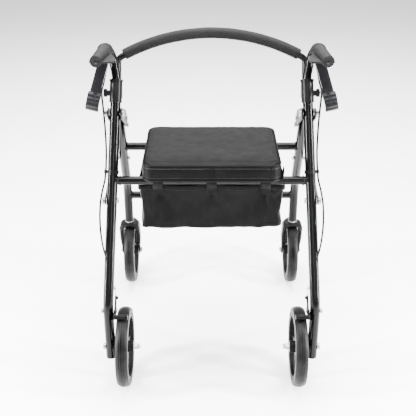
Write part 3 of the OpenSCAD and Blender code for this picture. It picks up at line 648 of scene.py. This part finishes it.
def make_pull_tab():
    """Fabric tab on the seat's right edge, to lift it by."""
    lo, hi = box_of("seat_board")
    x = hi.x + 1.5 * MM
    y = lo.y + 34 * MM
    path = smooth_path([
        (x - 22 * MM, y, lo.z - 0.9 * MM), (x - 2 * MM, y, lo.z - 1.4 * MM), (x + 4 * MM, y, lo.z + 1 * MM),
        (x + 6.5 * MM, y, lo.z + 12 * MM), (x + 7 * MM, y, lo.z + 26 * MM), (x + 5 * MM, y, lo.z + 14 * MM),
        (x + 3.5 * MM, y, lo.z + 4 * MM)], 6)
    verts, faces = sweep(path, flat_section(22 * MM, 1.4 * MM))
    add_mesh("seat_pull_tab", verts, faces, WEBBING, "seat", "bag_fabric")


# ---------- bag ----------

LOOP_X = (-0.133, 0.0, 0.133)


def bag_wall(lo, hi, columns, rows):
    """Rows of points on the bag's walls, which hang from the loops, and the bag's centre."""
    w, l, h = hi - lo
    centre = ((lo.x + hi.x) / 2, (lo.y + hi.y) / 2, 0)
    top_ring = rounded_outline(w - 6 * MM, l - 4 * MM, 16 * MM, centre, (2 * (w + l)) / columns)[:columns - 6]
    grid = []
    for j in range(rows + 1):
        v = j / rows  # 0 at the top edge, 1 at the bottom edge
        row = []
        for p in top_ring:
            d = Vector((p.x - centre[0], p.y - centre[1], 0))
            on_long = abs(abs(d.y) - (l / 2 - 2 * MM)) < 6 * MM
            near_loop = min(abs(p.x - x) for x in LOOP_X)
            sag = (1 - math.exp(-((near_loop / 0.030) ** 2))) * 4 * MM if on_long else 5 * MM
            z = hi.z - sag * (1 - v) - (h - 3 * MM) * v
            # the cloth is drawn in between the corners, most of all half-way down
            belly = math.sin(math.pi * min(v * 1.08, 1.0)) ** 1.2
            push = belly * (-3.0 if on_long else -9.0) * MM
            crease = 0.0
            for k, x in enumerate(LOOP_X):
                for lean, deep in ((-0.52, 0.8), (-0.24, 0.5), (0.08, 0.7), (0.30, 0.6), (0.56, 0.9)):
                    line = x + lean * v * 0.11 + wobble((v * 0.4, k, lean), 3.0, 0.006, 2.0)
                    spread = 0.0038 + 0.013 * v
                    crease -= deep * 10.0 * MM * math.exp(-((p.x - line) / spread) ** 2) * math.exp(-v * 1.8)
            corner = min(abs(abs(d.x) - w / 2), abs(abs(d.y) - l / 2))
            by_corner = math.exp(-((corner - 0.02) / 0.03) ** 2)
            fold = 2.2 * MM * math.sin(11 * v + 40 * (d.x + d.y)) * by_corner * v
            q = Vector((p.x, p.y, z))
            ripple = wobble((q.x, q.y, q.z * 0.6), 20, 6.0 * MM, 4.0)
            ripple += wobble((q.x, q.y, q.z * 0.5), 46, 2.4 * MM, 8.0)
            move = push + (crease if on_long else 0.0) + fold + ripple * min(1.0, 3 * v)
            q += out_direction(d, w, l) * min(move, 1.5 * MM)
            q.z -= 3.5 * MM * v * math.cos(math.pi * d.x / w) - 2.2 * MM * v * d.x / (w / 2)
            row.append(q)
        grid.append(row)
    return grid, centre


def out_direction(d, w, l):
    """Outward direction of the wall that the point is on, turning at the corners."""
    nx = max(abs(d.x) - (w / 2 - 0.022), 0.0)
    ny = max(abs(d.y) - (l / 2 - 0.022), 0.0)
    v = Vector((math.copysign(nx, d.x), math.copysign(ny, d.y), 0))
    return v.normalized() if v.length > 1e-7 else d.normalized()


def make_bag():
    lo, hi = box_of("storage_bag")
    lo = lo + Vector((0, 0, 2 * MM))
    rows = 44
    grid, centre = bag_wall(lo, hi, 300, rows)
    count = len(grid[0])
    verts = [p for row in grid for p in row]
    faces = []
    for j in range(rows):
        for i in range(count):
            n = (i + 1) % count
            faces.append((j * count + i, (j + 1) * count + i, (j + 1) * count + n, j * count + n))
    previous = rows * count
    middle = Vector((centre[0], centre[1], 0))
    for shrink, drop in ((0.985, 2.5), (0.95, 3.6), (0.8, 3.2), (0.55, 3.0), (0.3, 3.4)):
        start = len(verts)
        for p in grid[rows]:
            flat = Vector((p.x, p.y, 0))
            q = middle.lerp(flat, shrink)
            q.z = p.z - drop * MM + wobble((q.x, q.y, 0), 22, 2.4 * MM, 6.0) * (1 - shrink)
            q.z = max(q.z, lo.z - 1.5 * MM)
            verts.append(q)
        for i in range(count):
            n = (i + 1) % count
            faces.append((previous + i, start + i, start + n, previous + n))
        previous = start
    faces.append(tuple(previous + i for i in range(count)))
    bag = add_mesh("bag_shell", verts, faces, MATS["bag_fabric"], None, "bag_fabric")
    settle_bag(bag, grid)
    thick = bag.modifiers.new("thick", "SOLIDIFY")
    thick.thickness = 1.3 * MM
    thick.offset = -1.0
    bake_modifiers(bag)
    bag.data.shade_smooth()
    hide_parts("storage_bag")
    follow_frames(bag)
    hem(grid, centre)
    return bag


def settle_bag(bag, grid):
    """Lets the cloth hang from its loops under gravity for a short while."""
    scene = bpy.context.scene
    count = len(grid[0])
    group = bag.vertex_groups.new(name="held")
    for j in range(3):
        for i, p in enumerate(grid[j]):
            near = min(abs(p.x - x) for x in LOOP_X) < 0.016
            group.add([j * count + i], 1.0 if near or j == 0 else 0.35, "REPLACE")
    rest = [v.co.copy() for v in bag.data.vertices]
    cloth = bag.modifiers.new("cloth", "CLOTH")
    cloth.settings.vertex_group_mass = "held"
    cloth.settings.quality = 6
    cloth.settings.mass = 0.25
    cloth.settings.tension_stiffness = 12.0
    cloth.settings.compression_stiffness = 12.0
    cloth.settings.shear_stiffness = 6.0
    cloth.settings.bending_stiffness = 0.6
    cloth.settings.air_damping = 3.0
    cloth.point_cache.frame_start = 1
    cloth.point_cache.frame_end = 16
    for f in range(1, 17):
        scene.frame_set(f)
    graph = bpy.context.evaluated_depsgraph_get()
    moved = [v.co.copy() for v in bag.evaluated_get(graph).data.vertices]
    bag.modifiers.clear()
    cap = 3 * MM
    for v, r, m in zip(bag.data.vertices, rest, moved):
        step = m - r
        if step.length > cap:
            step *= cap / step.length
        v.co = r + step
    scene.frame_set(1)


def hem(grid, centre):
    """Folded hem round the mouth, with its stitched line."""
    mouth_w, mouth_l = 0.372, 0.216
    path = []
    for p in grid[0]:
        outward = out_direction(p - Vector((centre[0], centre[1], p.z)), mouth_w, mouth_l)
        path.append(p + outward * 0.4 * MM + Vector((0, 0, -6.5 * MM)))
    n = len(path)
    verts, faces = [], []
    for i, p in enumerate(path):
        a, b = path[i - 1], path[(i + 1) % n]
        t = (b - a).normalized()
        out = t.cross(Vector((0, 0, 1))).normalized()
        verts += [p + out * x * MM + Vector((0, 0, z * MM)) for x, z in
                  ((0.9, -7), (1.1, 0), (0.9, 6.6), (0, 7.4), (-1.9, 6.6), (-2.1, 0), (-1.9, -7), (0, -7.3))]
    for i in range(n):
        j = (i + 1) % n
        for c in range(8):
            d = (c + 1) % 8
            faces.append((i * 8 + c, i * 8 + d, j * 8 + d, j * 8 + c))
    band = add_mesh("bag_hem", verts, faces, MATS["bag_fabric"], None, "bag_fabric")
    follow_frames(band)
    line = [p + Vector((0, 0, -5 * MM)) for p in path]
    outs = []
    for i in range(n):
        t = (line[(i + 1) % n] - line[i - 1]).normalized()
        outs.append(t.cross(Vector((0, 0, 1))).normalized())
    line = [p + o * 1.2 * MM for p, o in zip(line, outs)]
    verts, faces = stitches(line, outs, 2.6 * MM, 0.4 * MM)
    seam = add_mesh("bag_hem_stitches", verts, faces, THREAD, None, "bag_fabric")
    follow_frames(seam)


def follow_frames(obj):
    """Bakes the object's placement into its mesh."""
    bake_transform(obj)


def make_loops():
    """Webbing loops over both bars, sewn to the bag's mouth."""
    lo, hi = box_of("storage_bag")
    rear = box_of("rear_crossbar")
    z = (rear[0].z + rear[1].z) / 2
    bars = (((rear[0].y + rear[1].y) / 2, 1), (box_of("front_crossbars")[0].y + BAR_R, -1))
    r = BAR_R + 1.3 * MM
    for end, (y, inward) in zip(("rear", "front"), bars):
        for k, x in enumerate(LOOP_X):
            outer = -inward
            wall = lo.y if inward > 0 else hi.y
            points = [Vector((x, wall - inward * 1.6 * MM, hi.z - 26 * MM)),
                      Vector((x, wall - inward * 2.0 * MM, hi.z - 12 * MM)),
                      Vector((x, y + outer * (r - 0.5 * MM), z - 9 * MM))]
            for a in range(0, 181, 20):
                turn = math.radians(a)
                points.append(Vector((x, y + outer * r * math.cos(turn), z + r * math.sin(turn))))
            points.append(Vector((x, y - outer * (r - 1 * MM), z - 9 * MM)))
            points.append(Vector((x, wall + inward * 3.2 * MM, hi.z - 6 * MM)))
            points.append(Vector((x, wall + inward * 3.2 * MM, hi.z - 20 * MM)))
            strap = strap_along(smooth_path(points, 3), 12.5 * MM, 0.7 * MM, 0.6 * MM * (k - 1))
            band = add_mesh(f"bag_loop_{end}_{k}", *strap, WEBBING, None, "bag_fabric")
            if k == 0 and end == "rear":
                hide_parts("bag_loops")
            follow_frames(band)


def strap_along(path, half, thick, skew):
    """A flat strap of that half width, lying across X, along a path in the YZ plane."""
    verts, faces = [], []
    last = len(path) - 1
    for i, p in enumerate(path):
        t = (path[min(i + 1, last)] - path[max(i - 1, 0)]).normalized()
        n = Vector((1, 0, 0)).cross(t).normalized()
        shift = skew * math.sin(i * 0.7)
        verts += [p + Vector((x * half + shift, 0, 0)) + n * y * thick for x, y in
                  ((-1, 0.3), (-0.95, 1), (-0.3, 1.15), (0.3, 1.15), (0.95, 1), (1, 0.3),
                   (0.95, -1), (0, -1), (-0.95, -1))]
    for i in range(last):
        for c in range(9):
            d = (c + 1) % 9
            faces.append((i * 9 + c, i * 9 + d, (i + 1) * 9 + d, (i + 1) * 9 + c))
    faces.append(tuple(reversed(range(9))))
    faces.append(tuple(last * 9 + c for c in range(9)))
    return verts, faces


# ---------- backrest foam ----------

def make_foam():
    """Foam sleeve on the arched bar, a little uneven, with rolled ends."""
    lo, hi = box_of("backrest_foam")
    r = 13.5 * MM
    tube_r = 8 * MM
    lean = math.atan(0.3)
    rise = (hi.z - lo.z) - 2 * r
    half = (hi.x - lo.x) / 2 - r * math.sin(math.radians(27))
    radius = (half * half + rise * rise / math.cos(lean) ** 2) / (2 * rise / math.cos(lean))
    sweep_a = math.asin(half / radius)
    peak = Vector(((lo.x + hi.x) / 2, hi.y - r, hi.z - r))
    up = Vector((0, math.sin(lean), math.cos(lean)))
    hub = peak - up * radius
    steps, sides = 120, 32
    verts, faces = [], []
    rings = []
    profile = [(0.0, tube_r + 0.6 * MM), (0.0, r - 2.2 * MM), (0.8, r - 0.7 * MM), (2.2, r)]
    arc_mm = 2 * sweep_a * radius / MM
    for at, rr in profile:
        rings.append((at, rr))
    for k in range(1, steps):
        rings.append((2.2 + (arc_mm - 4.4) * k / steps, r))
    for at, rr in reversed(profile):
        rings.append((arc_mm - at, rr))
    for at, rr in rings:
        a = -sweep_a + at * MM / radius
        radial = up * math.cos(a) + Vector((1, 0, 0)) * math.sin(a)
        side = Vector((1, 0, 0)).cross(up).normalized()
        middle = hub + radial * radius
        for c in range(sides):
            b = 2 * math.pi * c / sides
            d = radial * math.cos(b) + side * math.sin(b)
            p = middle + d * rr
            if rr > r - 1 * MM:
                p += d * (wobble(p, 30, 0.45 * MM, 1.0) + wobble(p, 90, 0.18 * MM, 2.0))
            verts.append(p)
    for j in range(len(rings) - 1):
        for c in range(sides):
            d = (c + 1) % sides
            faces.append((j * sides + c, j * sides + d, (j + 1) * sides + d, (j + 1) * sides + c))
    foam = add_mesh("backrest_foam_sleeve", verts, faces, MATS["foam_rubber"], "backrest", "foam_rubber")
    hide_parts("backrest_foam")


# ---------- brake cables ----------

# Route of the right-hand cable, the same points as in the CAD model
CABLE = [
    (263, -23, 790), (268, -20, 772), (272, -19, 745), (273, -23, 715), (271, -32, 685),
    (267, -48, 655), (263, -68, 620), (260, -92, 575), (260, -109, 545), (261, -118, 527),
    (263, -129, 508), (268, -149, 488), (272, -168, 462), (273, -184, 430), (271, -197, 395),
    (266, -206, 360), (259, -212, 335), (254, -217, 314), (253, -223, 295), (251, -228, 277),
    (246, -226, 264), (241, -223, 255)]
WIRE = [(240.5, -222.5, 254), (240.1, -224.5, 248), (239.6, -227.5, 241.8), (239.2, -231.5, 234.0)]


def side_points(points, side):
    return [(SIGN[side] * x * MM, y * MM, z * MM) for x, y, z in points]


def make_cables():
    for side in SIDES:
        route = side_points(CABLE, side)
        casing = sweep(smooth_path(route, 7), circle_section(2.5 * MM, 16))
        cable = add_mesh("cable_casing_" + side, *casing, MATS["cable_casing"], None, "cable_casing")
        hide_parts("brake_cable_" + side)
        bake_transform(cable)
        wire = sweep(smooth_path(side_points(WIRE, side), 6), circle_section(0.9 * MM, 10))
        inner = add_mesh("cable_wire_" + side, *wire, MATS["bright_chrome"], None, "bright_chrome")
        points = side_points(WIRE, side)
        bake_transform(inner)
        for name, points, body in (("top", route[:2], side + "_handle"), ("foot", route[-2:], "rear_frame")):
            a, b = (Vector(p) for p in points)
            if name == "foot":
                a, b = b, a
            run = (b - a).normalized()
            rings = [(-1.5, 3.2), (0, 3.6), (4, 3.6), (5.5, 3.2), (9, 2.8)]
            path = [a + run * d * MM for d, _ in rings]
            verts, faces = sweep(path, circle_section(1.0, 16))
            for i, (_, rr) in enumerate(rings):
                for c in range(16):
                    verts[i * 16 + c] = path[i] + (verts[i * 16 + c] - path[i]) * rr * MM
            add_mesh(f"cable_ferrule_{name}_{side}", verts, faces, MATS["bolt_steel"], body, "bolt_steel")


# ---------- small details ----------

def make_welds():
    """Weld beads where the bars meet the legs."""
    for node, body in (("rear_crossbar", "rear_frame"), ("front_crossbars", "front_frame")):
        lo, hi = box_of(node)
        centres = [((lo.y + hi.y) / 2, (lo.z + hi.z) / 2, hi.x)]
        if node == "front_crossbars":
            centres = [(lo.y + BAR_R, hi.z - BAR_R, 0.2417), (hi.y - BAR_R, lo.z + BAR_R, 0.248)]
        for k, (y, z, reach) in enumerate(centres):
            for side in SIDES:
                s = SIGN[side]
                path = []
                for c in range(40):
                    a = 2 * math.pi * c / 40
                    saddle = LEG_R_MM - math.sqrt(LEG_R_MM ** 2 - (BAR_R / MM * math.cos(a) * 0.98) ** 2)
                    proud = 0.4 * MM if node == "rear_crossbar" else 0
                    x = reach - LEG_R_MM * MM + saddle * MM * 0.9 + proud
                    rr = BAR_R + 0.7 * MM + wobble((a * 3, k, s), 2.0, 0.5 * MM, 1.5)
                    path.append(Vector((s * x, y + rr * math.cos(a), z + rr * math.sin(a))))
                verts, faces = sweep(path, circle_section(1.5 * MM, 8), closed=True)
                add_mesh(f"weld_{node}_{k}_{side}", verts, faces, MATS["tube_black"], body, "tube_black")


def make_dome(name, centre, axis, radius, height, mat, body, slot):
    """A low domed cap on the face at centre."""
    axis = Vector(axis).normalized()
    u = axis.orthogonal().normalized()
    w = axis.cross(u)
    profile = [(1.0, 0.0), (1.0, 0.25), (0.93, 0.5), (0.75, 0.78), (0.5, 0.93), (0.25, 0.99)]
    verts, faces = [], []
    sides = 24
    for r, h in profile:
        for c in range(sides):
            a = 2 * math.pi * c / sides
            around = u * math.cos(a) + w * math.sin(a)
            verts.append(Vector(centre) + axis * height * h + around * radius * r)
    verts.append(Vector(centre) + axis * height)
    for j in range(len(profile) - 1):
        for c in range(sides):
            d = (c + 1) % sides
            faces.append((j * sides + c, j * sides + d, (j + 1) * sides + d, (j + 1) * sides + c))
    top = (len(profile) - 1) * sides
    for c in range(sides):
        faces.append((top + c, top + (c + 1) % sides, len(verts) - 1))
    faces.append(tuple(reversed(range(sides))))
    add_mesh(name, verts, faces, mat, body, slot)


# The brake lever's own frame on the right-hand side: pivot, across, forward, up
LEVER_AT = Vector((259.4, -50.8, 784.1)) * MM
LEVER_X = Vector((0.97237, 0.0, 0.23345))
LEVER_Z = Vector((-0.23345, 0.0, 0.97237))
LEVER_END = (-87.0, -71.0, 21.0)  # forward, up and radius of the loop's rear end


def make_lever_ends():
    """Ribbed rubber over the rear end of each lever loop."""
    for side in SIDES:
        s = SIGN[side]
        end_y, end_z, r = LEVER_END
        half = 15.2
        steps = 150
        verts, faces = [], []
        lo, hi = math.radians(92), math.radians(268)
        for i in range(steps + 1):
            a = lo + (hi - lo) * i / steps
            rib = 0.5 + 0.5 * math.cos(11 * (a - lo))
            fade = min(1.0, 8 * i / steps, 8 * (steps - i) / steps)
            outer = r + 0.5 + (1.2 + 1.8 * rib ** 0.6) * fade
            section = ((-half, r - 1.5), (-half, outer - 1.0), (-half + 1.0, outer), (half - 1.0, outer),
                       (half, outer - 1.0), (half, r - 1.5), (half - 1.2, r - 2.2), (-half + 1.2, r - 2.2))
            for x, rr in section:
                p = (LEVER_AT + LEVER_X * x * MM + Vector((0, 1, 0)) * (end_y + rr * math.cos(a)) * MM
                     + LEVER_Z * (end_z + rr * math.sin(a)) * MM)
                verts.append(Vector((p.x * s, p.y, p.z)))
        k = 8
        for i in range(steps):
            for c in range(k):
                d = (c + 1) % k
                quad = (i * k + c, i * k + d, (i + 1) * k + d, (i + 1) * k + c)
                faces.append(quad if s > 0 else tuple(reversed(quad)))
        faces.append(tuple(range(k)) if s < 0 else tuple(reversed(range(k))))
        tail = tuple(steps * k + c for c in range(k))
        faces.append(tail if s > 0 else tuple(reversed(tail)))
        add_mesh("lever_end_" + side, verts, faces, MATS["lever_plastic"],
                 side + "_brake_lever", "lever_plastic")


def make_rim_lips():
    """Thin lip where each tyre meets its rim, coloured light grey as a painted highlight along the rim's
    edge.
    """
    for end in ("rear", "front"):
        for side in SIDES:
            lo, hi = box_of(f"{end}_tyre_{side}")
            centre = (lo + hi) / 2
            for face, x in (("outer", 12.6), ("inner", -12.6)):
                path = []
                for k in range(96):
                    a = 2 * math.pi * k / 96
                    rr = 84.3 + wobble((a * 2, x, lo.x), 1.7, 0.25, 0.4)
                    path.append(centre + Vector((x * MM, rr * MM * math.cos(a), rr * MM * math.sin(a))))
                verts, faces = sweep(path, circle_section(0.9 * MM, 8), closed=True)
                add_mesh(f"rim_lip_{end}_{side}_{face}", verts, faces, RIM_EDGE_HIGHLIGHT,
                         f"{side}_{end}_wheel", "rim_plastic")


def fork_stations(wheel_r, crown_top):
    """Outer and inner edge (x, z) of half a fork seen from the front, from its foot to its middle."""
    foot_x, arch_r = 27.8, 19.2
    arch_z = crown_top - 27.0
    stations = []
    steps = 22
    for i in range(steps):
        z = wheel_r - 12.0 + (arch_z - wheel_r + 12.0) * i / steps
        up = min(max((z - wheel_r - 14.0) / (crown_top - wheel_r - 14.0), 0.0), 1.0)
        inward = min(max((z - wheel_r - 26.0) / 18.0, 0.0), 1.0)
        inward = inward * inward * (3 - 2 * inward)
        stations.append(((foot_x + 3.2 * math.sin(math.pi * up), z), (23.6 - (23.6 - arch_r) * inward, z)))
    shoulder_x = stations[-1][0][0]
    for i in range(13):
        a = math.radians(90 * i / 12)
        outer_x = shoulder_x * max(math.cos(a), 0.0) ** 0.5
        outer_z = arch_z + (crown_top - arch_z) * math.sin(a) ** 0.6
        stations.append(((outer_x, outer_z), (arch_r * math.cos(a), arch_z + arch_r * math.sin(a))))
    return stations


def make_forks():
    """Moulded fork with bowed cheeks and an arched crown that follows the tyre."""
    for side in SIDES:
        tyre_lo, tyre_hi = box_of("front_tyre_" + side)
        stem_lo, stem_hi = box_of("caster_stem_" + side)
        crown_top = box_of("caster_fork_" + side)[1].z / MM
        hub, stem = (tyre_lo + tyre_hi) / 2 / MM, (stem_lo + stem_hi) / 2 / MM
        wheel_r = hub.z
        half = fork_stations(wheel_r, crown_top)
        mirrored = [((-a, b), (-c, d)) for (a, b), (c, d) in reversed(half[:-1])]
        verts, faces = [], []
        for outer, inner in half + mirrored:
            z = outer[1]
            up = min(max((z - wheel_r) / (crown_top - wheel_r), 0.0), 1.0)
            middle = hub.y + (stem.y - hub.y) * up
            reach = 12.0 + 7.0 * up ** 2
            if z < wheel_r:
                reach = max(12.0 * math.sqrt(max(1 - ((wheel_r - z) / 12.0) ** 2, 0.0)), 3.0)
            o, i = Vector((outer[0], 0, outer[1])), Vector((inner[0], 0, inner[1]))
            across = (i - o).normalized()
            ease = min(1.6, (i - o).length * 0.3)
            edge = ((o, 1 - ease * 1.4 / reach), (o + across * ease * 0.3, 1 - ease * 0.4 / reach),
                    (o + across * ease, 1.0), (i - across * ease * 0.6, 1.0), (i, 1 - ease * 0.6 / reach))
            for at, y in edge:
                verts.append(Vector((hub.x + at.x, middle + reach * y, at.z)) * MM)
            for at, y in reversed(edge):
                verts.append(Vector((hub.x + at.x, middle - reach * y, at.z)) * MM)
        rows = len(verts) // 10
        for j in range(rows - 1):
            for c in range(10):
                d = (c + 1) % 10
                faces.append((j * 10 + c, j * 10 + d, (j + 1) * 10 + d, (j + 1) * 10 + c))
        faces.append(tuple(reversed(range(10))))
        faces.append(tuple((rows - 1) * 10 + c for c in range(10)))
        fork = add_mesh("fork_shell_" + side, verts, faces, MATS["bracket_steel"],
                        side + "_caster", "bracket_steel")
        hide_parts("caster_fork_" + side)


def make_caps():
    """Bright screws in the height knobs."""
    for side in SIDES:
        s = SIGN[side]
        lo, hi = box_of("height_knob_" + side)
        face = hi.x if s > 0 else lo.x
        mid = (lo + hi) / 2
        make_dome(f"knob_screw_{side}", (face, mid.y, mid.z), (s, 0, 0), 4.2 * MM, 2.4 * MM,
                  MATS["bright_chrome"], side + "_height_knob", "bright_chrome")


make_camera()
make_studio()
paint_cad_nodes()
make_cushion()
make_pull_tab()
make_bag()
make_loops()
make_foam()
make_cables()
make_welds()
make_lever_ends()
make_rim_lips()
make_forks()
make_caps()
